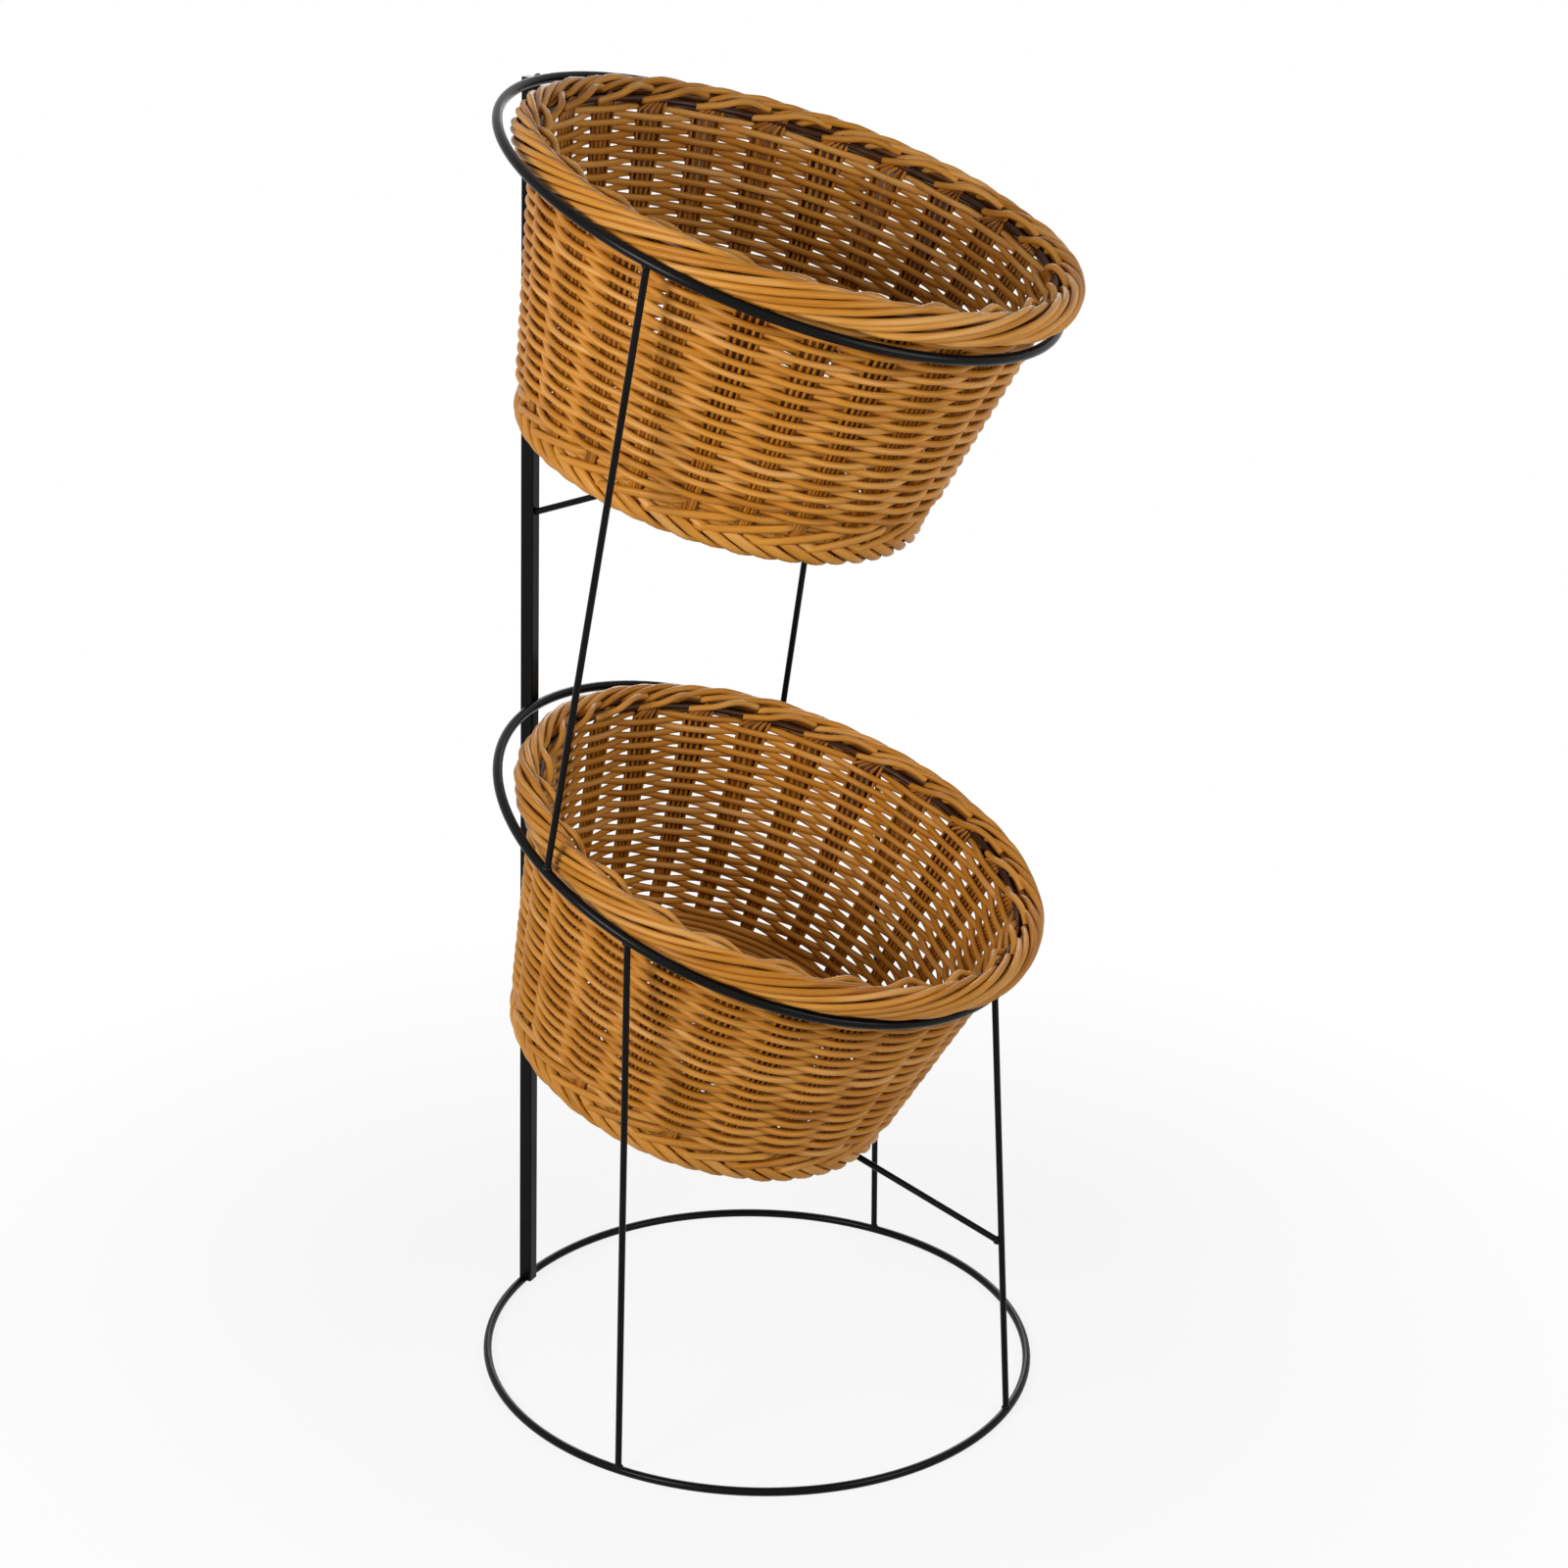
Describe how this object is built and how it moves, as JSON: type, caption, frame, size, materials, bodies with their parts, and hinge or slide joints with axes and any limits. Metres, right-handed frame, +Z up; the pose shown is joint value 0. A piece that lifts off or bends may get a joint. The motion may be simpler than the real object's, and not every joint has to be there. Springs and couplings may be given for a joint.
{
  "type": "produce display rack",
  "caption": "Free-standing produce rack: a black welded wire stand on a round base hoop, whose forward-leaning hoops each hold a tapered woven basket that lifts out.",
  "frame": {"origin": "on the floor, at the middle of the base hoop", "axes": "+Z up, -Y the open front that the baskets lean to, +Y the back with the post, +X right"},
  "size_m": [0.4059, 0.406, 0.916],
  "materials": {
    "frame": "satin black powder coat over welded steel rod and tube",
    "rattan": "honey-brown woven plastic rattan, satin"
  },
  "bodies": {
    "frame": {"base_ring": "frame", "back_post": "frame", "post_cap": "frame", "lower_ring": "frame", "upper_ring": "frame", "left_leg": "frame", "right_leg": "frame", "front_leg": "frame", "left_upright": "frame", "right_upright": "frame", "lower_support_bar": "frame", "upper_support_bar": "frame"},
    "lower_basket": {"lower_basket_wall": "rattan", "lower_basket_floor": "rattan", "lower_basket_rim_border": "rattan", "lower_basket_foot_border": "rattan", "lower_basket_rim_stakes": "rattan"},
    "upper_basket": {"upper_basket_wall": "rattan", "upper_basket_floor": "rattan", "upper_basket_rim_border": "rattan", "upper_basket_foot_border": "rattan", "upper_basket_rim_stakes": "rattan"}
  },
  "joints": [
    {"name": "lower_basket_lift", "type": "slide", "parent": "frame", "child": "lower_basket", "axis": [0, -0.4226, 0.9063], "range_m": [0, 0.185]},
    {"name": "upper_basket_lift", "type": "slide", "parent": "frame", "child": "upper_basket", "axis": [0, -0.3987, 0.9171], "range_m": [0, 0.2]}
  ]
}
